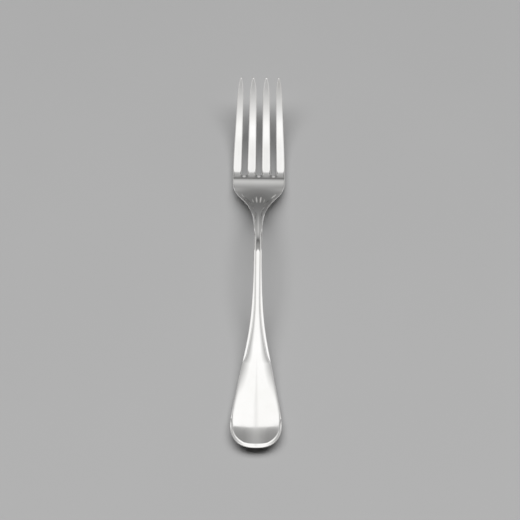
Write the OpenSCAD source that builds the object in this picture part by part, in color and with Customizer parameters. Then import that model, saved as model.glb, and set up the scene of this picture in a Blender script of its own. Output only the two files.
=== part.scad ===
// Baby fork with four tines, a broad rounded handle end and a slim ledged stem.
// The fork lies as it is laid on a table, tines up: +Y runs from the handle end to the tine
// tips and +Z is up. The origin is on the table, under the middle of the fork's length.
// In life it is one stamping. Here the blank and its four tines are lofts that meet face to face
// at the slot floors. Their sections stand square to one side-view curve.

/* [Overall] */
// Length over all, from the handle end to the tine tips
fork_length = 150; // [142:1:170]
// Height of the middle of the metal at the top of the arch
arch_height = 10.1; // [9:0.1:11]
// Height of the middle of the metal at the tine tips
tip_height = 12.3; // [10:0.1:13.5]
// Lift of the turned-up handle end above the place where the handle rests
end_lift = 1; // [0.6:0.05:1.4]

/* [Head and tines] */
// Width across the four tines where their slots begin
head_width = 20; // [19:0.1:22]
// Width across the four tines at their tips, before the tips are rounded
tip_span = 16.8; // [16:0.1:18]
// Length of the slots, from their round floors to the tine tips
tine_length = 38; // [34:0.5:40]
// Length of the shoulder that narrows from the head to the stem
shoulder_length = 31; // [28:0.5:34]
// Width of a slot near its floor
slot_root_width = 2; // [1.8:0.1:2.3]
// Width of a slot at the tine tips
slot_mouth_width = 2.3; // [2.2:0.1:2.7]
// Width of each inner tine near the slot floors
inner_root_width = 3.6; // [3.3:0.1:3.8]
// Width of each inner tine at its tip, before the tip is rounded
inner_tip_width = 2.7; // [2.3:0.1:2.8]
// Length over which each tine is rounded off to its tip
tip_rounding = 7; // [5:0.5:9]

/* [Handle and stem] */
// Width of the handle at its broadest
handle_width = 18.2; // [15:0.1:21]
// Distance from the handle end to its broadest place
handle_end_length = 9; // [8:0.5:11]
// Length over which the handle narrows to the stem
taper_length = 60; // [54:0.5:62]
// Width of the stem at its slimmest
stem_width = 3.1; // [2.8:0.1:3.6]

/* [Stem ledges] */
// Width of the ledge on each side of the raised rib
ledge_width = 1.3; // [1:0.1:1.5]
// Depth of the ledge below the rib
ledge_step = 0.35; // [0.2:0.05:0.5]
// Width of the raised rib where the stem is slimmest
rib_width = 1.6; // [1.4:0.1:1.9]
// Distance from the handle end to where the ledges run out
ledge_run_out = 32.4; // [30:0.1:35]

/* [Thickness and edges] */
// Thickness at the handle end
end_thickness = 2; // [1.6:0.1:2.4]
// Thickness in the middle of the handle's broad part
handle_thickness = 2.4; // [2:0.1:2.8]
// Thickness of the stem
stem_thickness = 2.8; // [2.4:0.1:3.2]
// Thickness of the neck, the strongest place
neck_thickness = 3; // [2.6:0.1:3.4]
// Thickness of the tines at the slot floors
root_thickness = 1.9; // [1.6:0.1:2.2]
// Thickness of the tines before their tips are rounded
tip_thickness = 1.2; // [1:0.1:1.4]
// Fall of the crowned face at the edge of the handle's broad end, in degrees
end_fall = 6; // [4:0.5:8]
// Fall of the crowned face at its edge where the ledges begin, in degrees
face_fall = 13; // [10:0.5:15]
// Fall of the back at its edge, in degrees
back_fall = 5; // [2:0.5:7]
// Width of the rolled rim at the handle end
roll_width = 1.7; // [1.4:0.1:2]
// Width of the rolled rim along the sides of the handle
side_roll_width = 0.9; // [0.6:0.1:1.4]
// Depth of the rolled rim at the handle end
roll_depth = 0.27; // [0.15:0.01:0.35]
// Width of the rounded edge around the handle
handle_edge = 0.25; // [0.2:0.05:0.5]
// Width of the rounded edge along the stem
stem_edge = 0.2; // [0.15:0.05:0.3]
// Width of the rounded edge along the head and tines
head_edge = 0.2; // [0.15:0.05:0.4]

/* [Hidden] */
silver = [0.86, 0.86, 0.85];

// Places along the fork. Those of the handle are measured from its end and those of the head from
// the tips, so the stem between them takes up a change of length.
palm_y = 15;
grip_y = 45;
root_y = fork_length - tine_length;
head_length = 2;
head_start_y = root_y - head_length;
stem_end_y = head_start_y - shoulder_length;
shortest_stem = 2;
stem_start_y = min(handle_end_length + taper_length, stem_end_y - shortest_stem);
belly_shift = 0.9;
belly_y = root_y + belly_shift;
belly_to_shoulder = 12;
belly_to_neck = 28;
belly_to_arch = 41;
belly_to_ledges = 26;
shoulder_y = belly_y - belly_to_shoulder;
neck_y = belly_y - belly_to_neck;
arch_y = belly_y - belly_to_arch;
ledge_start_y = belly_y - belly_to_ledges;
tip_start_y = fork_length - tip_rounding;

// Outline: half widths, the share of the widening kept at equal steps along the two tapers, the
// bow of the outer tines, and the powers that square up the handle end and the tips
handle_half = handle_width / 2;
stem_half = stem_width / 2;
head_half = head_width / 2;
taper_shares = [1, 0.79, 0.48, 0.19, 0.05, 0];
shoulder_shares = [0, 0.02, 0.12, 0.42, 0.88, 1];
tine_bow = 0.33;
end_power = 2.4;
tip_power = 1.75;

// Side view: shares of the rise at equal steps from the handle's rest to the arch and from the neck
// to the belly, and half way up the tines. The fork touches the table under its belly and its palm.
handle_shares = [0, 0.105, 0.43, 0.82, 1];
neck_shares = [0.912, 0.787, 0.52, 0.2, 0.036, 0];
tine_share = 0.26;
belly_height = root_thickness / 2;
rest_clearance = 0.015;
rest_height = handle_thickness / 2 + rest_clearance;
shoulder_thickness_share = 0.65;

// Ledges: width of their inner wall, which leans more on the broader handle, run-out at the handle,
// fade at the neck, blend of the rib. The crown of the face dies away from the neck to the head.
ledge_wall = 0.22;
wall_growth = 0.08;
run_out_radius = 4.5;
ledge_fade = 10;
rib_blend = 0.2;
crown_fade = 12;
belly_to_crown = 6;
crown_end_y = belly_y - belly_to_crown;

// Sections: columns across the face and back, angles round an edge, and limits on that edge
face_columns = [0, 0.3, 0.55, 0.75, 0.88, 1];
back_columns = [0, 0.5, 0.85, 1];
edge_angles = [67.5, 45, 22.5];
edge_limit = 0.7;
least_lean = 0.3;
slot_edge_growth = 1.5;
tiny = 0.05;

function mix(a, b, u) = a + (b - a) * u;
function ease(u) = let (v = min(1, max(0, u))) v * v * (3 - 2 * v);
function round_off(u) = let (v = 1 - min(1, max(0, u))) sqrt(1 - v * v);
function soft_max(a, b, blend) = (a + b + sqrt((a - b) * (a - b) + blend * blend)) / 2;
function reverse(list) = [for (i = [len(list) - 1:-1:0]) list[i]];
function tail(list) = [for (i = [1:len(list) - 1]) list[i]];
function left_of(points) = [for (p = points) [-p.x, p.y]];

// A smooth curve through points [place, value]: its bend is free at the ends, or it starts level
function forward(p, i, c, d) =
    i == len(p) - 1 ? [c, d] :
    let (
        before = p[i].x - p[i - 1].x,
        after = p[i + 1].x - p[i].x,
        turn = 6 * ((p[i + 1].y - p[i].y) / after - (p[i].y - p[i - 1].y) / before),
        pivot = 2 * (before + after) - before * c[i - 1]
    )
    forward(p, i + 1, concat(c, after / pivot), concat(d, (turn - before * d[i - 1]) / pivot));
function backward(cd, i, bends) =
    i < 0 ? bends : backward(cd, i - 1, concat(cd[1][i] - cd[0][i] * bends[0], bends));
function curve(p, level = false) =
    let (
        span = p[1].x - p[0].x,
        c = level ? 0.5 : 0,
        d = level ? 3 * (p[1].y - p[0].y) / (span * span) : 0
    )
    [p, backward(forward(p, 1, [c], [d]), len(p) - 2, [0])];
function piece_at(p, x, i = 0) = i >= len(p) - 2 || x < p[i + 1].x ? i : piece_at(p, x, i + 1);
function on_curve(c, x) =
    let (
        p = c[0],
        bends = c[1],
        i = piece_at(p, x),
        span = p[i + 1].x - p[i].x,
        u = x - p[i].x,
        slope = (p[i + 1].y - p[i].y) / span - span * (2 * bends[i] + bends[i + 1]) / 6
    )
    p[i].y + u * slope + u * u * bends[i] / 2 + u * u * u * (bends[i + 1] - bends[i]) / (6 * span);

// The three curves that shape the fork
side_curve = curve([
    [0, rest_height + end_lift],
    for (i = [0:len(handle_shares) - 1])
        [
            mix(palm_y, arch_y, i / (len(handle_shares) - 1)),
            mix(rest_height, arch_height, handle_shares[i])
        ],
    for (i = [0:len(neck_shares) - 1])
        [
            mix(neck_y, belly_y, i / (len(neck_shares) - 1)),
            mix(belly_height, arch_height, neck_shares[i])
        ],
    [mix(belly_y, fork_length, 0.5), mix(belly_height, tip_height, tine_share)],
    [fork_length, tip_height]
]);
width_curve = curve([
    for (i = [0:len(taper_shares) - 1])
        [
            mix(handle_end_length, stem_start_y, i / (len(taper_shares) - 1)),
            mix(stem_half, handle_half, taper_shares[i])
        ],
    for (i = [0:len(shoulder_shares) - 1])
        [
            mix(stem_end_y, head_start_y, i / (len(shoulder_shares) - 1)),
            mix(stem_half, head_half, shoulder_shares[i])
        ],
    [mix(head_start_y, fork_length, 0.5), mix(head_half, tip_span / 2, tine_bow)],
    [fork_length, tip_span / 2]
], level = true);
thickness_curve = curve([
    [0, end_thickness],
    [palm_y, handle_thickness],
    [stem_start_y, stem_thickness],
    [neck_y, neck_thickness],
    [shoulder_y, mix(neck_thickness, root_thickness, shoulder_thickness_share)],
    [root_y, root_thickness],
    [fork_length, tip_thickness]
]);

function side_z(y) = on_curve(side_curve, y);
function side_slope(y) = atan((side_z(y + tiny) - side_z(y - tiny)) / (2 * tiny));
function half_thickness(y) = on_curve(thickness_curve, y) / 2;
function end_reach(y) = (handle_end_length - y) / handle_end_length;
function half_width(y) =
    y < handle_end_length
        ? handle_half * pow(1 - pow(end_reach(y), end_power), 1 / end_power)
        : on_curve(width_curve, y);

// Section points [across, out from the middle of the metal] set square to the side view at y
function standing(points, y) =
    let (
        slope = side_slope(y),
        z = side_z(y)
    )
    [for (p = points) [p.x, y - p.y * sin(slope), z + p.y * cos(slope)]];

// Distance from a point of the blank in to its outline: the end is a rounded square in plan
function inset_at(x, y, w, lean) =
    y >= handle_end_length ? (w - x) * lean :
    let (
        u = x / handle_half,
        v = end_reach(y),
        inside = 1 - pow(u, end_power) - pow(v, end_power),
        rise = norm([pow(u, end_power - 1) / handle_half, pow(v, end_power - 1) / handle_end_length])
    )
    inside / (end_power * rise + tiny * tiny);

// Section of the blank: a crowned face, or a rib between two ledges, over a rounded back. The crown
// isn't pinched by the rounded handle end, which only cuts it off.
function ledge_at(y) =
    ledge_width * round_off((y - ledge_run_out) / run_out_radius) * ease((ledge_start_y - y) / ledge_fade);
function step_at(y) = ledge_step * ease((ledge_start_y - y) / ledge_fade);
function face_half(y, w) = min(w, soft_max(w - ledge_at(y), min(w, rib_width / 2), rib_blend));
function wall_at(w) = ledge_wall + wall_growth * (w - stem_half);
function crown_share(y) = ease((crown_end_y - y) / crown_fade);
function fall_at(y) =
    mix(tan(end_fall), tan(face_fall), ease((y - palm_y) / (ledge_run_out - palm_y))) * crown_share(y);
function edge_width(y) =
    mix(
        mix(handle_edge, stem_edge, ease((y - palm_y) / (grip_y - palm_y))),
        head_edge,
        ease((y - neck_y) / (shoulder_y - neck_y))
    );
function face_at(x, y, face) =
    let (
        broad_y = max(y, handle_end_length),
        w = half_width(broad_y),
        bow = pow(min(x, face), 2) * fall_at(y) / (2 * face_half(broad_y, w))
    )
    half_thickness(y) - bow - step_at(y) * ease((x - face) / wall_at(w));
function back_at(x, y) =
    half_thickness(y) - x * x * tan(back_fall) * crown_share(y) / (2 * half_width(max(y, handle_end_length)));
function roll_at(y, inset) =
    let (
        share = ease((ledge_run_out - y) / (ledge_run_out - handle_end_length)),
        span = mix(side_roll_width, roll_width, max(0, end_reach(y))),
        reach = 1 - min(1, max(0, inset / span))
    )
    roll_depth * span / roll_width * share * reach * reach;

function body_ring(y) =
    let (
        w = half_width(y),
        lean = cos(atan((half_width(y + tiny) - half_width(max(0, y - tiny))) / (2 * tiny))),
        edge = edge_width(y),
        rim = min(edge / max(lean, least_lean), edge_limit * w),
        flat = w - rim,
        face = face_half(y, w),
        rib = min(face, flat - ledge_wall * flat / handle_half),
        foot = min(rib + wall_at(w), mix(rib, flat, 0.5)),
        rims = [for (a = edge_angles) w - rim * (1 - cos(a))],
        face_xs = concat(rib * face_columns, [foot, mix(foot, flat, 0.5), flat], rims),
        back_xs = concat(flat * back_columns, rims),
        top = [for (x = face_xs)
            let (inset = inset_at(x, y, w, lean))
            [x, (face_at(x, y, face) - roll_at(y, inset)) * round_off(inset / edge)]],
        under = [for (x = back_xs) [x, -back_at(x, y) * round_off(inset_at(x, y, w, lean) / edge)]]
    )
    standing(concat(
        [[w, 0]], reverse(top), left_of(tail(top)),
        [[-w, 0]], left_of(reverse(under)), tail(under)
    ), y);

// A loft through equal rings, closed by a point at each end
function loft_faces(rings, n) = concat(
    [for (i = [0:rings - 2], j = [0:n - 1]) [i * n + j, i * n + (j + 1) % n, (i + 1) * n + j]],
    [for (i = [0:rings - 2], j = [0:n - 1])
        [i * n + (j + 1) % n, (i + 1) * n + (j + 1) % n, (i + 1) * n + j]],
    [for (j = [0:n - 1]) [rings * n, (j + 1) % n, j]],
    [for (j = [0:n - 1]) [rings * n + 1, (rings - 1) * n + j, (rings - 1) * n + (j + 1) % n]]
);
module loft(rings, first, last) {
    color(silver)
        translate([0, -fork_length / 2, 0])
            polyhedron(
                points = concat([for (ring = rings) each ring], [first, last]),
                faces = loft_faces(len(rings), len(rings[0]))
            );
}

// Places of the sections: close together where the outline turns, wider along the stem
end_places = [for (a = [7:6:85]) handle_end_length * (1 - cos(a))];
run_out_end = ledge_run_out + run_out_radius;
handle_places = [for (i = [0:13]) mix(handle_end_length, ledge_run_out, i / 14)];
run_out_places = [for (i = [0:7]) mix(ledge_run_out, run_out_end, i / 7)];
stem_places = [for (i = [1:19]) mix(run_out_end, neck_y, i / 20)];
shoulder_places = [for (i = [0:27]) mix(neck_y, root_y, i / 27)];
body_places = concat(end_places, handle_places, run_out_places, stem_places, shoulder_places);

module fork_body() {
    loft([for (y = body_places) body_ring(y)], [0, 0, side_z(0)], [0, root_y, side_z(root_y)]);
}

// A tine lies between two edges. A slot's edges leave its middle round a circular floor.
function along_tine(y) = (y - root_y) / tine_length;
function slot_middle(k, y) =
    (k - 1) * mix(inner_root_width + slot_root_width, inner_tip_width + slot_mouth_width, along_tine(y));
function slot_half(y) =
    mix(slot_root_width, slot_mouth_width, along_tine(y)) / 2
        * round_off((y - root_y) / (slot_root_width / 2));
function tine_left(k, y) = k == 0 ? -half_width(y) : slot_middle(k - 1, y) + slot_half(y);
function tine_right(k, y) = k == 3 ? half_width(y) : slot_middle(k, y) - slot_half(y);
function tine_middle(k, y) = (tine_left(k, y) + tine_right(k, y)) / 2;
function tip_share(y) =
    pow(1 - pow(max(0, (y - tip_start_y) / tip_rounding), tip_power), 1 / tip_power);

// Section of a tine: flat above and below, with its slot edges sharp at the floor and eased further on
function tine_ring(k, y) =
    let (
        half = (tine_right(k, y) - tine_left(k, y)) / 2 * tip_share(y),
        height = half_thickness(y) * round_off((fork_length - y) / (tip_thickness / 2)),
        slot_edge = head_edge * ease((y - root_y) / slot_edge_growth),
        left = min(k == 0 ? head_edge : slot_edge, edge_limit * half),
        right = min(k == 3 ? head_edge : slot_edge, edge_limit * half),
        angles = concat(90, edge_angles),
        top_right = [for (a = angles) [half - right * (1 - cos(a)), height * sin(a)]],
        top_left = [for (a = angles) [left * (1 - cos(a)) - half, height * sin(a)]],
        loop = concat(
            [[half, 0]], reverse(top_right), top_left,
            [[-half, 0]], [for (p = reverse(top_left)) [p.x, -p.y]], [for (p = top_right) [p.x, -p.y]]
        )
    )
    standing([for (p = loop) [tine_middle(k, y) + p.x, p.y]], y);

floor_places = [for (a = [0:15:90]) root_y + slot_root_width / 2 * (1 - cos(a))];
shaft_places = [for (i = [1:14]) mix(root_y + slot_root_width / 2, tip_start_y, i / 14)];
tip_places = [for (a = [15, 30, 42, 54, 64, 73, 80, 86]) tip_start_y + tip_rounding * sin(a)];
tine_places = concat(floor_places, shaft_places, tip_places);

module tine(k) {
    loft(
        [for (y = tine_places) tine_ring(k, y)],
        [tine_middle(k, root_y), root_y, side_z(root_y)],
        [tine_middle(k, fork_length), fork_length, side_z(fork_length)]
    );
}
module tine_1() { tine(0); }
module tine_2() { tine(1); }
module tine_3() { tine(2); }
module tine_4() { tine(3); }

fork_body();
tine_1();
tine_2();
tine_3();
tine_4();
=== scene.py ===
# %% [markdown]
# # A baby fork in polished silver plate
# A table fork is one stamping. A flat blank is cut from nickel silver, its slots are pierced, and a die
# presses the blank into its long wave and leaves the ledges along the stem. The edges are then eased,
# and the whole fork is plated with silver and polished to a mirror.
# A mirror shows its surroundings and little of its own colour, so two things decide how the fork looks:
# a smooth surface with the right slopes, and a studio worth reflecting. This lesson builds both.
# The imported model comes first. It fixes the frame: metres, +Y towards the tine tips, +Z up.

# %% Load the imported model
import math

import bmesh
import bpy
import numpy as np
from mathutils import Matrix, Vector
from mathutils.bvhtree import BVHTree


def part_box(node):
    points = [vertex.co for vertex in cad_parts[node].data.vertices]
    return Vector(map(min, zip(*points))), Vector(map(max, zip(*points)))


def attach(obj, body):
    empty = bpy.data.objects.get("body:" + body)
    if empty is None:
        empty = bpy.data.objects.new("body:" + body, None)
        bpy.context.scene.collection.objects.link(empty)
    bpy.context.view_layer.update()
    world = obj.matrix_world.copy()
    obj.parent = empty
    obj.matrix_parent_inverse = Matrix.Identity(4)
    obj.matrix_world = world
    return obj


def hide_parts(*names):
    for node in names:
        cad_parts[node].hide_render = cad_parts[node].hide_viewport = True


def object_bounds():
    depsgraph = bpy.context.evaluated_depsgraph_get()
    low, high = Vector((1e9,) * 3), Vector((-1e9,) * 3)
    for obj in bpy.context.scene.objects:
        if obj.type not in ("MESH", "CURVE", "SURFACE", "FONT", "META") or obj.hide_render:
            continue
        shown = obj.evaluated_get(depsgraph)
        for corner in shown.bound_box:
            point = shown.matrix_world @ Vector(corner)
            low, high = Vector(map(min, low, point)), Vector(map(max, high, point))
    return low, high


MM = 0.001
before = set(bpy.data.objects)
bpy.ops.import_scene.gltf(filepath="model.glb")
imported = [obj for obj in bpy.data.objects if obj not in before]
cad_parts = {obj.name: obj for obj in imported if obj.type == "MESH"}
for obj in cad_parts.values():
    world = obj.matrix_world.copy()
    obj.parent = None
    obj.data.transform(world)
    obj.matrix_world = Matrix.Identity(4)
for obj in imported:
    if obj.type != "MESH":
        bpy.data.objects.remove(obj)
cad_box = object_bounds()
cad_nodes = sorted(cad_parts)
print("CAD nodes:", cad_nodes)
print("CAD box in mm:", [[round(v / MM, 2) for v in corner] for corner in cad_box])

# %% [markdown]
# ## Places and sizes
# The drawing of the fork uses millimetres, with y counted from the handle end, as a maker would mark out
# the blank. Only the finished skin is turned into metres. The length and the place of the slot floors
# come from the frame, so the skin starts and ends where the solids do. Most of the other sizes are those
# of the solids. The side view and the crown of the neck differ from them a little: a polished surface is
# unforgiving, and these were trimmed until the fork mirrored each part of the room in the right place.

# %% Places along the fork
body_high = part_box("fork_body")[1]
fork_length = round(cad_box[1].y - cad_box[0].y, 3) / MM
root_y = round(fork_length / 2 + body_high.y / MM, 1)

handle_end_length = 9.0
palm_y = 15.0
grip_y = 45.0
head_start_y = root_y - 2.0
stem_end_y = head_start_y - 31.0
stem_start_y = handle_end_length + 60.0
belly_y = root_y + 0.9
shoulder_y = belly_y - 12.0
neck_y = belly_y - 28.0
arch_y = belly_y - 41.0
ledge_start_y = belly_y - 26.0
crown_end_y = belly_y - 7.0
tip_rounding = 7.0
tip_start_y = fork_length - tip_rounding
print(f"length {fork_length:.1f} mm, slot floors {root_y:.2f} mm from the handle end")

# %% Widths, heights and thicknesses
handle_half = 18.2 / 2
stem_half = 3.1 / 2
head_half = 20.0 / 2
tip_half = 16.8 / 2
slot_root, slot_mouth = 2.0, 2.3
inner_root, inner_tip = 3.6, 2.7

end_thickness, handle_thickness, stem_thickness = 2.0, 2.4, 2.8
neck_thickness, root_thickness, tip_thickness = 3.0, 1.9, 1.2

arch_height, tip_height = 9.81, 12.3
rest_clearance = 0.03
belly_height = root_thickness / 2 + rest_clearance
rest_height = handle_thickness / 2 + rest_clearance
end_lift = 1.13
print(f"head {2 * head_half} mm, handle {2 * handle_half} mm, stem {2 * stem_half} mm wide")

# %% [markdown]
# ## A smooth curve through a few points
# A polished surface betrays every kink, because a kink in slope is a jump in what it reflects. A cubic
# spline has a steady slope and a steady bend, like a thin strip of steel held at pins. Blender's own
# curves could draw it, but a small function gives the height at any place, which the later steps need.

# %% The spline
def smooth_curve(points, level_start=False):
    """A function through the points (place, value). Its bend is free at the ends, or it starts level."""
    place, value = np.array(points, float).T
    last = len(place) - 1
    span = np.diff(place)
    rise = np.diff(value) / span
    balance = np.eye(last + 1)
    turn = np.zeros(last + 1)
    for i in range(1, last):
        balance[i, i - 1 : i + 2] = span[i - 1], 2 * (span[i - 1] + span[i]), span[i]
        turn[i] = 6 * (rise[i] - rise[i - 1])
    if level_start:
        balance[0, :2] = 2 * span[0], span[0]
        turn[0] = 6 * rise[0]
    bend = np.linalg.solve(balance, turn)

    def height(at):
        i = np.clip(np.searchsorted(place, at, side="right") - 1, 0, last - 1)
        u = at - place[i]
        slope = rise[i] - span[i] * (2 * bend[i] + bend[i + 1]) / 6
        return value[i] + u * (slope + u * (bend[i] / 2 + u * (bend[i + 1] - bend[i]) / (6 * span[i])))

    return height


def mix(a, b, share):
    return a + (b - a) * share


def ease(u):
    v = np.clip(u, 0, 1)
    return v * v * (3 - 2 * v)


print("a bump 1 high, a quarter of the way along:", smooth_curve([(0, 0), (1, 1), (2, 0)])(0.5))

# %% [markdown]
# ## The three curves that shape a fork
# Seen from the side, the handle end turns up a little, so the fork rests on the broad part of the handle
# and can be picked up by the end. From there the metal arches over the stem, dives down the neck to the
# belly under the slot floors, and lifts again to the tips. Seen from above, it narrows from the handle to
# the stem and swells into the head. The third curve is its thickness, greatest at the neck, where a fork
# would bend first. In the first two curves a stretch is given by a few shares, at evenly spaced places,
# of the way between two named sizes.

# %% Side view, outline and thickness
handle_shares = (0, 0.105, 0.43, 0.82, 1)
neck_shares = (0.892, 0.755, 0.504, 0.213, 0.034, 0)
tine_share = 0.275
handle_places = np.linspace(palm_y, arch_y, len(handle_shares))
neck_places = np.linspace(neck_y, belly_y, len(neck_shares))
side_view = smooth_curve(
    [(0, rest_height + end_lift)]
    + [(y, mix(rest_height, arch_height, s)) for y, s in zip(handle_places, handle_shares)]
    + [(y, mix(belly_height, arch_height, s)) for y, s in zip(neck_places, neck_shares)]
    + [((belly_y + fork_length) / 2, mix(belly_height, tip_height, tine_share)), (fork_length, tip_height)]
)

taper_shares = (1, 0.79, 0.48, 0.19, 0.05, 0)
shoulder_shares = (0, 0.02, 0.12, 0.42, 0.88, 1)
outer_tine_share = 0.33
taper_places = np.linspace(handle_end_length, stem_start_y, len(taper_shares))
shoulder_places = np.linspace(stem_end_y, head_start_y, len(shoulder_shares))
mid_tine = ((head_start_y + fork_length) / 2, mix(head_half, tip_half, outer_tine_share))
outline = smooth_curve(
    [(y, mix(stem_half, handle_half, s)) for y, s in zip(taper_places, taper_shares)]
    + [(y, mix(stem_half, head_half, s)) for y, s in zip(shoulder_places, shoulder_shares)]
    + [mid_tine, (fork_length, tip_half)],
    level_start=True,
)

shoulder_thinning = 0.65
thickness = smooth_curve(
    [
        (0, end_thickness),
        (palm_y, handle_thickness),
        (stem_start_y, stem_thickness),
        (neck_y, neck_thickness),
        (shoulder_y, mix(neck_thickness, root_thickness, shoulder_thinning)),
        (root_y, root_thickness),
        (fork_length, tip_thickness),
    ]
)
print("half width at the slimmest:", round(float(outline(mix(stem_start_y, stem_end_y, 0.5))), 2), "mm")

# %% [markdown]
# ## Setting a section on the curve
# A section is drawn flat: x across, n outwards from the middle of the metal. It is then set square to
# the side view, as a bead slides along a bent wire. The handle end is a rounded square in plan, a
# superellipse, because a half circle looks too pointed and a box too hard.

# %% From a flat section to its place
end_power = 2.4
near = 0.05


def half_width(y):
    reach = np.clip((handle_end_length - y) / handle_end_length, 0, 1)
    rounded = handle_half * (1 - reach**end_power) ** (1 / end_power)
    return np.where(y < handle_end_length, rounded, outline(np.maximum(y, handle_end_length)))


def side_slope(y):
    return (side_view(y + near) - side_view(y - near)) / (2 * near)


def standing(x, n, y):
    """Section points as metres in the frame."""
    slope = np.arctan(side_slope(y))
    along = y - n * np.sin(slope) - fork_length / 2
    up = side_view(y) + n * np.cos(slope)
    return np.stack(np.broadcast_arrays(x, along, up), axis=-1) * MM


print("steepest slope of the neck:", round(float(side_slope(np.linspace(neck_y, belly_y)).min()), 2))

# %% [markdown]
# ## Eased edges
# No edge of a fork is sharp. The thickness falls away near an outline along a quarter of an ellipse, by
# the distance to that outline. At the round floors of the slots the distance is measured to a circle, so
# the easing runs round the floor in one sweep. That little rounded lip is what catches the light there.
# Round the handle end and at the shoulders the back is coined away under the edge. The face and the back
# then meet in a lip above the middle of the metal, and the shadow under the lip draws a dark line there.

# %% Rounding by the distance to an outline
handle_edge, stem_edge, head_edge = 0.25, 0.2, 0.2
edge_limit = 0.7
coined_edge, coined_share, coin_fade = 1.6, 0.8, 6.0
least_lean = 0.3
slot_radius = slot_root / 2
slot_pitch_root, slot_pitch_tip = inner_root + slot_root, inner_tip + slot_mouth


def round_off(u):
    return np.sqrt(1 - (1 - np.clip(u, 0, 1)) ** 2)


def edge_width(y):
    slim = mix(handle_edge, stem_edge, ease((y - palm_y) / (grip_y - palm_y)))
    return mix(slim, head_edge, ease((y - neck_y) / (shoulder_y - neck_y)))


def undercut(y):
    """1 where the back is coined away under the edge: round the handle end and at the shoulders."""
    at_end = 1 - ease((y - handle_end_length) / (palm_y - handle_end_length))
    at_shoulders = ease((y - neck_y) / coin_fade) * ease((root_y - y) / coin_fade)
    return at_end + at_shoulders


def back_edge(y):
    return mix(edge_width(y), coined_edge, undercut(y))


def lip_height(y):
    """Where the face and the back meet at the outline: above the middle of the metal if coined."""
    return coined_share * undercut(y) * thickness(y) / 2


print("edge at the handle end and at the grip:", edge_width(0.0), edge_width(grip_y), "mm")

# %% Distances to the outline and to the slots
def outline_inset(x, y, w, lean):
    """Distance from a point of the blank in to its outline."""
    across = np.abs(x) / handle_half
    reach = np.clip((handle_end_length - y) / handle_end_length, 0, 1)
    inside = 1 - across**end_power - reach**end_power
    rise = np.hypot(across ** (end_power - 1) / handle_half, reach ** (end_power - 1) / handle_end_length)
    at_end = inside / (end_power * rise + near * near)
    return np.where(y < handle_end_length, at_end, (w - np.abs(x)) * lean)


def along_tine(y):
    return (y - root_y) / (fork_length - root_y)


def slot_inset(x, y):
    """Distance from a point of the metal to the nearest slot, which starts with a round floor."""
    pitch = mix(slot_pitch_root, slot_pitch_tip, np.maximum(0, along_tine(y)))
    half_slot = mix(slot_root, slot_mouth, np.maximum(0, along_tine(y))) / 2
    to_slot = np.minimum(np.abs(x), np.abs(np.abs(x) - pitch))
    return np.hypot(to_slot, np.minimum(0, y - root_y - slot_radius)) - half_slot


print("from the shoulder's middle to a slot:", round(float(slot_inset(0.0, shoulder_y)), 2), "mm")

# %% [markdown]
# ## The face of the blank
# The handle's face is gently crowned, so a reflection runs across it like light over water. It falls more
# to the sides where the handle narrows, and at the rim it rolls over, most of all round the end. Along the
# stem a raised rib lies between two ledges. The die leaves them a third of a millimetre lower, and they
# run out where the handle broadens. The head is flat across, apart from a shallow wash behind each slot
# floor, where the polishing wheel took a little metal. The back is slightly crowned.

# %% Ledges, rim and wash
ledge_width, ledge_depth, ledge_wall = 1.3, 0.35, 0.22
wall_growth = 0.08
rib_half, rib_blend = 0.8, 0.2
ledge_run_out, run_out_radius, ledge_fade = 32.4, 4.5, 10.0
roll_width, side_roll_width, roll_depth = 1.7, 0.9, 0.27
wash_width, wash_depth, wash_focus = 1.4, 0.12, 4


def rib_edge(y, w):
    """Half width of the rib, or of the whole face where there are no ledges."""
    fade = ease((ledge_start_y - y) / ledge_fade)
    inner = w - ledge_width * round_off((y - ledge_run_out) / run_out_radius) * fade
    least = np.minimum(w, rib_half)
    return np.minimum(w, (inner + least + np.hypot(inner - least, rib_blend)) / 2)


def wall_width(w):
    """The wall between rib and ledge leans more where the handle is broader."""
    return ledge_wall + wall_growth * (w - stem_half)


def rim_roll(y, inset):
    """How far the face rolls over at the handle's rim. The roll dies away towards the ledges."""
    share = 1 - ease((y - handle_end_length) / (ledge_run_out - handle_end_length))
    span = mix(side_roll_width, roll_width, np.clip((handle_end_length - y) / handle_end_length, 0, 1))
    return roll_depth * span / roll_width * share * (1 - np.clip(inset / span, 0, 1)) ** 2


def slot_wash(x, y):
    """How far the polishing wheel has washed out the face behind a slot floor."""
    inset = slot_inset(x, y)
    behind = np.clip((root_y + slot_radius - y) / (inset + slot_radius), 0, 1)
    return wash_depth * behind**wash_focus * (1 - np.clip(inset / wash_width, 0, 1)) ** 2


print("rib on the slim stem:", round(float(2 * rib_edge(stem_start_y, stem_half)), 2), "mm wide")

# %% Heights of the face and the back
crown_fade = 8.0
end_fall, face_fall, back_fall = (math.tan(math.radians(fall)) for fall in (6, 13, 5))


def crown(y):
    return ease((crown_end_y - y) / crown_fade)


def face_height(x, y, rib):
    """The crown is not pinched by the rounded handle end, which only cuts it off."""
    broad_y = np.maximum(y, handle_end_length)
    w = half_width(broad_y)
    fall = mix(end_fall, face_fall, ease((y - palm_y) / (ledge_run_out - palm_y))) * crown(y)
    bow = np.minimum(np.abs(x), rib) ** 2 * fall / (2 * rib_edge(broad_y, w))
    ledge = ledge_depth * ease((ledge_start_y - y) / ledge_fade) * ease((np.abs(x) - rib) / wall_width(w))
    return thickness(y) / 2 - bow - ledge


def back_height(x, y):
    w = half_width(np.maximum(y, handle_end_length))
    return thickness(y) / 2 - x**2 * back_fall * crown(y) / (2 * w)


print("crown of the handle's face:", round(handle_half * end_fall / 2, 2), "mm high")

# %% [markdown]
# ## Columns of points across the blank
# The skin is a grid: rows along the fork, columns across it. A grid of quads shades evenly, and it lets
# the columns gather where the form turns: round the edges, at the wall of the ledge and at the slots.
# One set of columns has to serve the stem and the head, so it drifts from one layout to the other.

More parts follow.
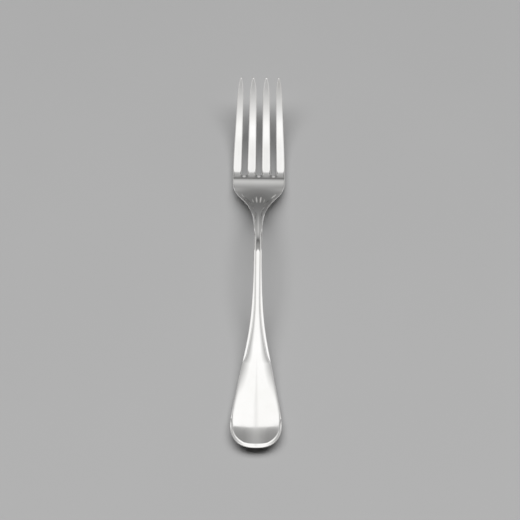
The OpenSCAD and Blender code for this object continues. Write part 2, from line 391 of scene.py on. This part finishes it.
# %% Two layouts and their blend
edge_steps, flat_steps = 6, 6
quarter = np.radians(np.linspace(0, 90, edge_steps + 1))
from_edge = 1 - np.cos(quarter)


def spread(start, stop, steps):
    """Even columns after start, up to and with stop."""
    return [mix(start, stop, i / steps) for i in range(1, steps + 1)]


def stem_columns(y, w, rim):
    rib = np.minimum(rib_edge(y, w), (w - rim) * (1 - ledge_wall / handle_half))
    foot = np.minimum(rib + wall_width(w), mix(rib, w - rim, 0.5))
    inner = spread(0, rib, 2 * edge_steps + flat_steps)
    return [0 * w] + inner + spread(rib, foot, edge_steps) + spread(foot, w - rim, flat_steps)


def head_columns(w, rim):
    lip = np.sqrt((slot_radius + head_edge * from_edge) ** 2 - slot_radius**2)
    slot = slot_pitch_root
    columns = list(lip) + spread(lip[-1], slot - lip[-1], flat_steps) + list(slot - lip[-2::-1])
    columns += list(slot + lip[1:]) + spread(slot + lip[-1], w - rim, flat_steps)
    return [c + 0 * w for c in columns]


def half_columns(y):
    """Columns from the middle line to the right edge, with the half width and the lean of the outline."""
    w = half_width(y)
    ahead, behind = half_width(y + near), half_width(np.maximum(0, y - near))
    lean = np.cos(np.arctan((ahead - behind) / (2 * near)))
    rim = np.minimum(back_edge(y) / np.maximum(lean, least_lean), edge_limit * w)
    drift = ease((y - neck_y) / (head_start_y - neck_y))
    inner = [mix(s, h, drift) for s, h in zip(stem_columns(y, w, rim), head_columns(w, rim))]
    return np.stack(inner + [w - rim * share for share in from_edge[-2::-1]], axis=-1), w, lean


print("columns across the blank:", 2 * half_columns(np.array([palm_y]))[0].shape[1] - 1)

# %% [markdown]
# ## The blank, from the handle end to the slot floors
# Rows lie close where the outline or the slope turns fast: round the handle end, at the run-out of the
# ledges, down the neck and just before the slots. Each row gives a line of points on the face and one on
# the back, and the two lines meet at the outline.

# %% Rows along the blank
handle_step, close_step, stem_step, neck_step = 0.7, 0.15, 0.8, 0.4
run_out_from, run_out_to = ledge_run_out - 0.5, ledge_run_out + run_out_radius + 1
lip_from, lip_count = root_y - 0.6, 11
end_turns = np.radians(np.arange(2, 88, 2.5))
rows = np.concatenate(
    [
        handle_end_length * (1 - np.cos(end_turns)),
        np.arange(handle_end_length, run_out_from, handle_step),
        np.arange(run_out_from, run_out_to, close_step),
        np.arange(run_out_to + stem_step / 2, neck_y, stem_step),
        np.arange(neck_y, head_start_y, neck_step),
        np.arange(head_start_y, lip_from, close_step),
        np.linspace(lip_from, root_y, lip_count),
    ]
)
print("rows:", len(rows), "from", round(rows[0], 3), "to", round(rows[-1], 3), "mm")

# %% Face and back sheets of the blank
def blank_sheets(y):
    x, w, lean = half_columns(y)
    x = np.concatenate([-x[:, :0:-1], x], axis=1)
    y, w, lean = y[:, None], w[:, None], lean[:, None]
    inset = outline_inset(x, y, w, lean)
    at_slots = round_off(slot_inset(x, y) / head_edge)
    eased = round_off(inset / edge_width(y)) * at_slots
    eased_back = round_off(inset / back_edge(y)) * at_slots
    lip = lip_height(y)
    face = mix(lip, face_height(x, y, rib_edge(y, w)) - rim_roll(y, inset) - slot_wash(x, y), eased)
    back = mix(lip, -back_height(x, y), eased_back)
    return standing(x, face, y), standing(x, back, y), eased


blank_face, blank_back, blank_eased = blank_sheets(rows)
print("blank:", blank_face.shape[0], "rows of", blank_face.shape[1], "points on each side")

# %% [markdown]
# ## The four tines
# A tine lies between two edges: a slot on one side, and another slot or the outline on the other. Its
# columns start where the blank's last row ends, so the sheets can be welded with no seam, as the metal
# of a stamping has none. Towards its tip each tine draws in along a curve and thins out.

# %% Rows along a tine
tine_count = 4
tip_power = 1.75
shaft_step = 0.7
floor_turns = np.radians(np.arange(0, 90, 7.5))
tip_turns = np.radians(np.linspace(0, 87.5, 26))
tine_rows = np.concatenate(
    [
        root_y + slot_radius * (1 - np.cos(floor_turns)),
        np.arange(root_y + slot_radius, tip_start_y, shaft_step),
        tip_start_y + tip_rounding * np.sin(tip_turns),
    ]
)


def slot_edge(y, depth):
    """How far a line lies from the middle of a slot, at a depth into the metal from the slot's edge."""
    half_slot = mix(slot_root, slot_mouth, along_tine(y)) / 2
    before = half_slot * (1 - np.clip((y - root_y) / slot_radius, 0, 1))
    return np.sqrt((half_slot + depth) ** 2 - before**2)


print("rows along a tine:", len(tine_rows))

# %% Face and back sheets of a tine
def tine_sheets(number, y):
    """Sheets of one tine, counted from the left."""
    pitch = mix(slot_pitch_root, slot_pitch_tip, along_tine(y))
    outer_left, outer_right = number == 0, number == tine_count - 1
    left = -half_width(y) if outer_left else (number - 2) * pitch + slot_edge(y, 0)
    right = half_width(y) if outer_right else (number - 1) * pitch - slot_edge(y, 0)
    drawn_in = (1 - np.clip((y - tip_start_y) / tip_rounding, 0, 1) ** tip_power) ** (1 / tip_power)
    middle, half = (left + right) / 2, (right - left) / 2 * drawn_in
    rim = np.minimum(head_edge, edge_limit * half)

    def inwards(outer, share):
        return rim * share if outer else slot_edge(y, rim * share) - slot_edge(y, 0)

    from_left = [middle - half + inwards(outer_left, s) for s in from_edge]
    from_right = [middle + half - inwards(outer_right, s) for s in from_edge]
    x = np.stack(from_left + spread(from_left[-1], from_right[-1], flat_steps) + from_right[-2::-1], axis=-1)
    level = np.ones(flat_steps - 1)
    profile = np.concatenate([np.sin(quarter), level, np.sin(quarter)[::-1]])
    tall = thickness(y) / 2 * round_off((fork_length - y) / (tip_thickness / 2))
    y = y[:, None]
    face = (tall[:, None] - slot_wash(x, y)) * profile
    back = -tall[:, None] * profile
    return standing(x, face, y), standing(x, back, y), profile + 0 * face


tines = [tine_sheets(number, tine_rows) for number in range(tine_count)]
print("tines:", len(tines), "of", tines[0][0].shape[1], "columns on each side")

# %% [markdown]
# ## One skin
# The sheets become one closed mesh. Each tine takes the blank's last row as its first, the handle end
# and the tips close to a point, and points in the same place are welded. A solid with modifiers could
# stand here too, but a welded grid has no hidden walls inside: all of its faces lie on the outside.
# Each point also keeps a number, eased, that is 0 at an edge and 1 on the open face. The finish uses it.

# %% Weld the sheets
tine_columns = 2 * edge_steps + flat_steps
weld_distance = 2e-7


def closed_at_end(sheet):
    point = np.broadcast_to(standing(0.0, lip_height(0.0), 0.0), sheet[:1].shape)
    return np.concatenate([point, sheet])


def add_sheet(skin, eased_layer, points, eased, face_up):
    grid = [[skin.verts.new(point) for point in row] for row in points.tolist()]
    for row, shares in zip(grid, eased.tolist()):
        for vertex, share in zip(row, shares):
            vertex[eased_layer] = share
    for near_row, far_row in zip(grid, grid[1:]):
        for i in range(len(near_row) - 1):
            corners = (near_row[i], near_row[i + 1], far_row[i + 1], far_row[i])
            skin.faces.new(corners if face_up else corners[::-1])


skin = bmesh.new()
eased_layer = skin.verts.layers.float.new("eased")
end_eased = np.concatenate([blank_eased[:1], blank_eased])
for sheet, face_up in ((blank_face, True), (blank_back, False)):
    add_sheet(skin, eased_layer, closed_at_end(sheet), end_eased, face_up)
for number, (face, back, eased) in enumerate(tines):
    shared = slice(number * tine_columns, (number + 1) * tine_columns + 1)
    face[0], back[0] = blank_face[-1, shared], blank_back[-1, shared]
    point_x = face[-1, :, 0].mean() / MM
    tip = standing(point_x, 0.0, fork_length)
    tip_eased = np.concatenate([eased, eased[-1:]])
    for sheet, face_up in ((face, True), (back, False)):
        closed = np.concatenate([sheet, np.broadcast_to(tip, sheet[:1].shape)])
        add_sheet(skin, eased_layer, closed, tip_eased, face_up)
bmesh.ops.remove_doubles(skin, verts=skin.verts, dist=weld_distance)
open_edges = sum(not edge.is_manifold for edge in skin.edges)
print("skin:", len(skin.faces), "faces, open or doubled edges:", open_edges)
print(f"metal in the skin: {skin.calc_volume() / MM**3:.0f} cubic millimetres")

# %% The fork as one object
fork_mesh = bpy.data.meshes.new("silver_fork")
skin.to_mesh(fork_mesh)
skin.free()
fork_mesh.shade_smooth()
silver_fork = bpy.data.objects.new("silver_fork", fork_mesh)
bpy.context.scene.collection.objects.link(silver_fork)
print("object:", silver_fork.name, "with", len(fork_mesh.vertices), "points")

# %% [markdown]
# ## Does the skin lie on the solids?
# The solids carry the fork in the simulation, so the skin must not wander from them. A search tree finds
# the nearest point of the solids for each point of the skin, which is quicker than looking at two
# pictures. More than half of the points lie within a tenth of a millimetre. Larger gaps are expected at
# the coined edges, which the solids lack, and along the arch and the upper neck, which lie lower here.

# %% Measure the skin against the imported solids
corners, triangles = [], []
for name in cad_nodes:
    node_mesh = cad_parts[name].data
    node_mesh.calc_loop_triangles()
    first = len(corners)
    corners += [vertex.co.copy() for vertex in node_mesh.vertices]
    triangles += [[first + i for i in triangle.vertices] for triangle in node_mesh.loop_triangles]
solids = BVHTree.FromPolygons(corners, triangles)
gaps = np.array([solids.find_nearest(vertex.co)[3] for vertex in fork_mesh.vertices]) / MM
print(f"skin to solids: {np.median(gaps):.3f} mm at the median, {gaps.max():.3f} mm at most")

# %% [markdown]
# ## The finish: polished silver plate
# Silver is a metal, so it has no colour of its own under the gloss: the base colour is the tint of its
# mirror, pale and a touch warm. What tells silver from chrome is the life in that mirror. Polishing with
# a soft wheel leaves the surface very slightly wavy. Use leaves hairlines along the fork, faint smears,
# and a duller bloom on the edges and the tips, which meet plates and teeth most.
# The pieces of the finish are noise textures in object space, stretched along the fork where a hand or a
# cloth would have moved, and the number at each point of the skin that says how near it is to an edge.

# %% Node helpers
def add_node(tree, kind, inputs=None, **settings):
    """A node whose inputs are set: a socket is linked, and anything else is the input's own value."""
    node = tree.nodes.new(kind)
    for name, value in settings.items():
        setattr(node, name, value)
    for name, value in (inputs or {}).items():
        if isinstance(value, bpy.types.NodeSocket):
            tree.links.new(value, node.inputs[name])
        else:
            node.inputs[name].default_value = value
    return node


def new_material(name):
    material = bpy.data.materials.new(name)
    material.use_nodes = True
    tree = material.node_tree
    tree.nodes.clear()
    shader = add_node(tree, "ShaderNodeBsdfPrincipled")
    add_node(tree, "ShaderNodeOutputMaterial", {"Surface": shader.outputs[0]})
    return material, tree, shader


def noise(tree, place, stretch, scale, detail):
    """Noise from 0 to 1 with spots of about 1/scale metres, drawn out by the stretch."""
    placed = add_node(tree, "ShaderNodeMapping", {"Vector": place, "Scale": stretch})
    inputs = {"Vector": placed.outputs[0], "Scale": scale, "Detail": detail}
    return add_node(tree, "ShaderNodeTexNoise", inputs).outputs[0]


def remap(tree, value, given, wanted):
    """The value, carried over evenly from the given range to the wanted one and held at its ends."""
    inputs = {"Value": value, "From Min": given[0], "From Max": given[1]}
    inputs |= {"To Min": wanted[0], "To Max": wanted[1]}
    return add_node(tree, "ShaderNodeMapRange", inputs).outputs[0]


def arithmetic(tree, operation, first, second):
    return add_node(tree, "ShaderNodeMath", {0: first, 1: second}, operation=operation).outputs[0]


def painted(tree, share, tones):
    """Colours by a share from 0 to 1, blended evenly from one (share, colour) to the next."""
    ramp = add_node(tree, "ShaderNodeValToRGB", {"Fac": share})
    stops = ramp.color_ramp.elements
    while len(stops) < len(tones):
        stops.new(0.5)
    for stop, (position, colour) in zip(stops, tones):
        stop.position = position
        stop.color = (*colour, 1)
    return ramp.outputs[0]


def grey(brightness):
    return brightness, brightness, brightness


print("materials before the finish:", len(bpy.data.materials))

# %% Polished silver
warm_tint, pale_tint = (0.3, (0.885, 0.878, 0.858)), (0.7, (0.935, 0.93, 0.92))
fine_polish, smeared_polish, smear_range = 0.03, 0.06, (0.35, 0.7)
edge_bloom, edge_range = 0.05, (0.1, 0.9)
tip_bloom, bloom_length = 0.06, 15.0
wave_height, hairline_height = 0.012 * MM, 0.0012 * MM

silver, tree, shader = new_material("polished_silver_plate")
place = add_node(tree, "ShaderNodeTexCoord").outputs["Object"]
along = add_node(tree, "ShaderNodeSeparateXYZ", {0: place}).outputs["Y"]
eased_share = add_node(tree, "ShaderNodeAttribute", attribute_name="eased").outputs["Fac"]

clouds = noise(tree, place, stretch=(1, 1, 1), scale=90, detail=3)
hairlines = noise(tree, place, stretch=(1, 0.04, 1), scale=5200, detail=2)
smears = noise(tree, place, stretch=(1, 0.3, 1), scale=260, detail=4)
waves = noise(tree, place, stretch=(1, 0.5, 1), scale=170, detail=1)

tint = painted(tree, clouds, [warm_tint, pale_tint])
tree.links.new(tint, shader.inputs["Base Color"])

tip_end = fork_length / 2 * MM
bloom_start = (tip_start_y - bloom_length - fork_length / 2) * MM
tip_wear = remap(tree, along, (bloom_start, tip_end), (0, tip_bloom))
edge_wear = remap(tree, eased_share, edge_range, (edge_bloom, 0))
polish = remap(tree, smears, smear_range, (fine_polish, smeared_polish))
roughness = arithmetic(tree, "ADD", arithmetic(tree, "ADD", polish, edge_wear), tip_wear)
tree.links.new(roughness, shader.inputs["Roughness"])

wavy = add_node(tree, "ShaderNodeBump", {"Strength": 1, "Distance": wave_height, "Height": waves})
scratch = {"Strength": 1, "Distance": hairline_height, "Height": hairlines, "Normal": wavy.outputs[0]}
lined = add_node(tree, "ShaderNodeBump", scratch)
tree.links.new(lined.outputs[0], shader.inputs["Normal"])
shader.inputs["Metallic"].default_value = 1
fork_mesh.materials.append(silver)
print("finish:", silver.name, "with", len(tree.nodes), "nodes")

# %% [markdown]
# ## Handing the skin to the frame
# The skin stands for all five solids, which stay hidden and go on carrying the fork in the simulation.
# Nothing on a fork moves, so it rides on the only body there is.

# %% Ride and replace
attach(silver_fork, "root")
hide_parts(*cad_nodes)
print("silver_fork stands for", ", ".join(cad_nodes))

# %% [markdown]
# ## The floor
# The fork lies on a plain pale grey sheet. The sheet is wide, so that no view looks past its edge. Its
# colour is painted a little paler towards the viewer, a painted light falloff, and it has a faint tooth and
# a slight unevenness of tone, which keep it from looking like a void.

# %% A wide grey sheet
floor_half = 8.0
floor_mesh = bpy.data.meshes.new("grey_sheet")
sheet = bmesh.new()
bmesh.ops.create_grid(sheet, x_segments=1, y_segments=1, size=floor_half)
sheet.to_mesh(floor_mesh)
sheet.free()
grey_sheet = bpy.data.objects.new("grey_sheet", floor_mesh)
bpy.context.scene.collection.objects.link(grey_sheet)
print("floor:", 2 * floor_half, "m square")

# %% Grey paper
dark_paper, pale_paper = 0.46, 0.57
# Where the painted light falloff starts and ends along the floor, and how far it shifts the paper's tone.
falloff_far, falloff_near, falloff_shares = 0.12, -0.12, (0.2, 0.8)
cloud_share = 0.1
tooth_height = 0.02 * MM

paper, tree, shader = new_material("grey_paper")
place = add_node(tree, "ShaderNodeTexCoord").outputs["Object"]
away = add_node(tree, "ShaderNodeSeparateXYZ", {0: place}).outputs["Y"]
# Painted light: the paper is painted darker far off and paler towards the viewer, as if more light fell
# near.
painted_falloff = remap(tree, away, (falloff_far, falloff_near), falloff_shares)
clouds = noise(tree, place, stretch=(1, 1, 1), scale=14, detail=4)
cloudy = remap(tree, clouds, (0, 1), (-cloud_share, cloud_share))
tone_share = arithmetic(tree, "ADD", painted_falloff, cloudy)
tone = painted(tree, tone_share, [(0, grey(dark_paper)), (1, grey(pale_paper))])
tree.links.new(tone, shader.inputs["Base Color"])
tooth = noise(tree, place, stretch=(1, 1, 1), scale=2500, detail=2)
grained = add_node(tree, "ShaderNodeBump", {"Strength": 0.2, "Distance": tooth_height, "Height": tooth})
tree.links.new(grained.outputs[0], shader.inputs["Normal"])
shader.inputs["Roughness"].default_value = 0.9
shader.inputs["Specular IOR Level"].default_value = 0.1
floor_mesh.materials.append(paper)
print("paper:", paper.name, "with", len(tree.nodes), "nodes")

# %% [markdown]
# ## The light on the floor
# A photographer lights cutlery with a very broad soft panel, because a small lamp leaves hard shadows.
# This panel hangs beyond the tips and reaches far to both sides. Its width softens the shadow of the stem
# and yet leaves the floor of the narrow slots dark, since little of it can be seen from down there. Its
# place on the far side leaves deep shadow in front of the shoulders and the handle end.
# The panel lights only the floor. The camera and the mirror of the metal don't see it, because the room
# that they see is painted in the next step, where its tones can be set with more care.

# %% A panel beyond the tips
panel_height = 5.0
panel_near_angle, panel_far_angle, panel_side_angle = 80.0, 45.0, 50.0
panel_brightness = 3.72


def on_ceiling(degrees):
    """Where a line at this angle, from 0 far to 180 near, meets the panel's height."""
    return panel_height / math.tan(math.radians(degrees))


panel_near, panel_far = on_ceiling(panel_near_angle), on_ceiling(panel_far_angle)
panel_half = panel_height * math.tan(math.radians(panel_side_angle))
lamp = bpy.data.lights.new("soft_panel", "AREA")
lamp.shape = "RECTANGLE"
lamp.size, lamp.size_y = 2 * panel_half, panel_far - panel_near
lamp.energy = panel_brightness * math.pi * lamp.size * lamp.size_y
panel = bpy.data.objects.new("soft_panel", lamp)
panel.location = (0, (panel_near + panel_far) / 2, panel_height)
panel.visible_camera = False
panel.visible_glossy = False
bpy.context.scene.collection.objects.link(panel)
print(f"panel: {lamp.size:.2f} by {lamp.size_y:.2f} m, {lamp.energy:.0f} W")

# %% [markdown]
# ## The room that the fork mirrors
# The room is painted on the world, by the angle round the fork's cross axis: 0 is the far horizon, 90
# straight up and 180 the near horizon. A face that is tilted by a degree shows the room two degrees
# further on, so each band of tone shows at one slope of the fork.
# A far wall grows lighter upwards, but for a dark seam near its top. Then a white ceiling starts with a
# crisp edge, which shows where the fork lies almost level. The ceiling dims towards the near side, where
# the tips find it.

# %% Tones of the far wall and the ceiling
half_turn = 180.0
ceiling_tone, ceiling_edge, edge_blur = 1.07, 60.4, 0.1
far_wall = [
    (0, 0.15),
    (7, 0.165),
    (15, 0.19),
    (25.5, 0.25),
    (32, 0.33),
    (37.4, 0.415),
    (43, 0.54),
    (47, 0.61),
    (49.5, 0.56),
    (51.6, 0.38),
    (53.2, 0.14),
    (54, 0.2),
    (55.4, 0.32),
    (56.7, 0.39),
    (58.4, 0.4),
    (59.2, 0.46),
    (59.8, 0.54),
    (ceiling_edge, 0.68),
]
ceiling = [
    (94, ceiling_tone),
    (97, 1.03),
    (100, 0.93),
    (102.5, 0.83),
    (105, 0.74),
    (107.4, 0.58),
    (109, 0.36),
    (116, 0.17),
    (124, 0.08),
    (150, 0.03),
    (180, 0.02),
]
print("room:", len(far_wall), "tones on the far wall,", len(ceiling), "overhead")

# %% The angle of each direction
studio = bpy.data.worlds.new("studio_room")
studio.use_nodes = True
tree = studio.node_tree
tree.nodes.clear()
direction = add_node(tree, "ShaderNodeTexCoord").outputs["Generated"]
towards = add_node(tree, "ShaderNodeSeparateXYZ", {0: direction}).outputs
angle = arithmetic(tree, "ARCTAN2", towards["Z"], towards["Y"])
turn = arithmetic(tree, "DIVIDE", angle, math.pi)
sideways = arithmetic(tree, "ABSOLUTE", towards["X"], 0)


def turns(low, high):
    """A range of degrees as shares of a half turn."""
    return low / half_turn, high / half_turn


def by_angle(tones):
    return painted(tree, turn, [(degrees / half_turn, grey(brightness)) for degrees, brightness in tones])


def scaled(colour, share):
    return add_node(tree, "ShaderNodeVectorMath", {0: colour, "Scale": share}, operation="SCALE").outputs[0]


def blend(share, first, second):
    node = add_node(tree, "ShaderNodeMix", data_type="RGBA")
    for socket, value in ((0, share), (6, first), (7, second)):
        tree.links.new(value, node.inputs[socket])
    return node.outputs[2]


print("the ceiling's edge lies at", round(ceiling_edge / half_turn, 3), "of a half turn")

# %% [markdown]
# ## Wall, ceiling and sides
# The upper far wall is shaded on both sides of a lit middle, which gives the handle end its pale stripe.
# The ceiling has a faint line along the fork, as between two lamps. It shows in the handle and fades out
# further up, so that it doesn't darken the flat tines. A colour ramp has only 256 steps, too few for a
# crisp edge, so the wall and the ceiling are two ramps, and a narrow step goes from one to the other. To
# the left and right comes a darker gap, then pale sides that darken towards the floor. They show in the
# walls of the ledges and at rounded edges.

# %% Paint the room
wall_shade, lit_half, shade_half = 0.32, 0.015, 0.09
shade_foot, shade_full = 18.0, 36.0
line_half, line_tone = 0.025, 0.86
line_fade_from, line_fade_to = 76.0, 88.0
gap_start, gap_end, gap_tone, side_tone = (0.2, 0.42), (0.46, 0.6), 0.42, 0.95
low_height, low_tone = (0.05, 0.4), 0.15

shade_across = remap(tree, sideways, (lit_half, shade_half), (0, wall_shade))
shade_upwards = remap(tree, turn, turns(shade_foot, shade_full), (0, 1))
wall_light = arithmetic(tree, "SUBTRACT", 1, arithmetic(tree, "MULTIPLY", shade_across, shade_upwards))
wall = scaled(by_angle(far_wall), wall_light)

line_across = remap(tree, sideways, (0, line_half), (line_tone, 1))
line_end = remap(tree, turn, turns(line_fade_from, line_fade_to), (line_tone, 1))
overhead = scaled(by_angle(ceiling), arithmetic(tree, "MAXIMUM", line_across, line_end))

past_edge = remap(tree, turn, turns(ceiling_edge - edge_blur, ceiling_edge + edge_blur), (0, 1))
beyond_gap = remap(tree, sideways, gap_end, (gap_tone, side_tone))
side = arithmetic(tree, "MULTIPLY", beyond_gap, remap(tree, towards["Z"], low_height, (low_tone, 1)))
room = blend(remap(tree, sideways, gap_start, (0, 1)), blend(past_edge, wall, overhead), side)
print("room painted with", len(tree.nodes), "nodes")

# %% [markdown]
# ## Who sees the room
# Only the camera and mirrors see the room at full strength. The floor gets a small share of it as fill,
# or it would be lit twice, once by the panel and once by the ceiling. A mirror that the floor sees counts
# as floor too: the Light Path node tells how often a ray has met a matt surface, its diffuse depth.

# %% Strength by kind of ray
fill_share = 0.03

ray = add_node(tree, "ShaderNodeLightPath").outputs
seen = arithmetic(tree, "MAXIMUM", ray["Is Camera Ray"], ray["Is Glossy Ray"])
mirrored = arithmetic(tree, "GREATER_THAN", seen, ray["Diffuse Depth"])
strength = remap(tree, mirrored, (0, 1), (fill_share, 1))
light = add_node(tree, "ShaderNodeBackground", {"Color": room, "Strength": strength})
add_node(tree, "ShaderNodeOutputWorld", {"Surface": light.outputs[0]})
bpy.context.scene.world = studio
print("world:", studio.name, "with", fill_share, "of its light on the floor")

# %% [markdown]
# ## The camera
# The fork was seen from its handle end, from well above: 62 degrees over the table and 0.6 m away, with
# a long lens. The camera rolls by a fraction of a degree, since the fork lay not quite square to it. The
# place of the fork in the picture comes from where the lens points, so no shift is needed.

# %% Camera from the photograph's angle
picture_side = 520
focal_pixels = 1618
sensor = 36.0
view_elevation = math.radians(62)
view_distance = 0.6
view_roll = math.radians(0.68)
focus = Vector((0, 0, 0.005))
focus_pixel = (257.9, 256.4)

backwards = Vector((0, -math.cos(view_elevation), math.sin(view_elevation)))
across = Vector((1, 0, 0))
upwards = backwards.cross(across)
rolled_across = across * math.cos(view_roll) + upwards * math.sin(view_roll)
rolled_upwards = upwards * math.cos(view_roll) - across * math.sin(view_roll)
eye = focus + backwards * view_distance
metres_per_pixel = view_distance / focal_pixels
aim = focus + rolled_across * (picture_side / 2 - focus_pixel[0]) * metres_per_pixel
aim -= rolled_upwards * (picture_side / 2 - focus_pixel[1]) * metres_per_pixel
towards_eye = (eye - aim).normalized()
level = rolled_upwards.cross(towards_eye).normalized()
facing = Matrix((level, towards_eye.cross(level), towards_eye)).transposed()

lens = bpy.data.cameras.new("camera")
lens.sensor_width = sensor
lens.lens = sensor * focal_pixels / picture_side
lens.clip_start = 0.01
camera = bpy.data.objects.new("camera", lens)
camera.matrix_world = Matrix.Translation(eye) @ facing.to_4x4()
bpy.context.scene.collection.objects.link(camera)
bpy.context.scene.camera = camera
bpy.context.scene.view_settings.view_transform = "Standard"
print(f"camera: {lens.lens:.1f} mm lens, {view_distance} m away")
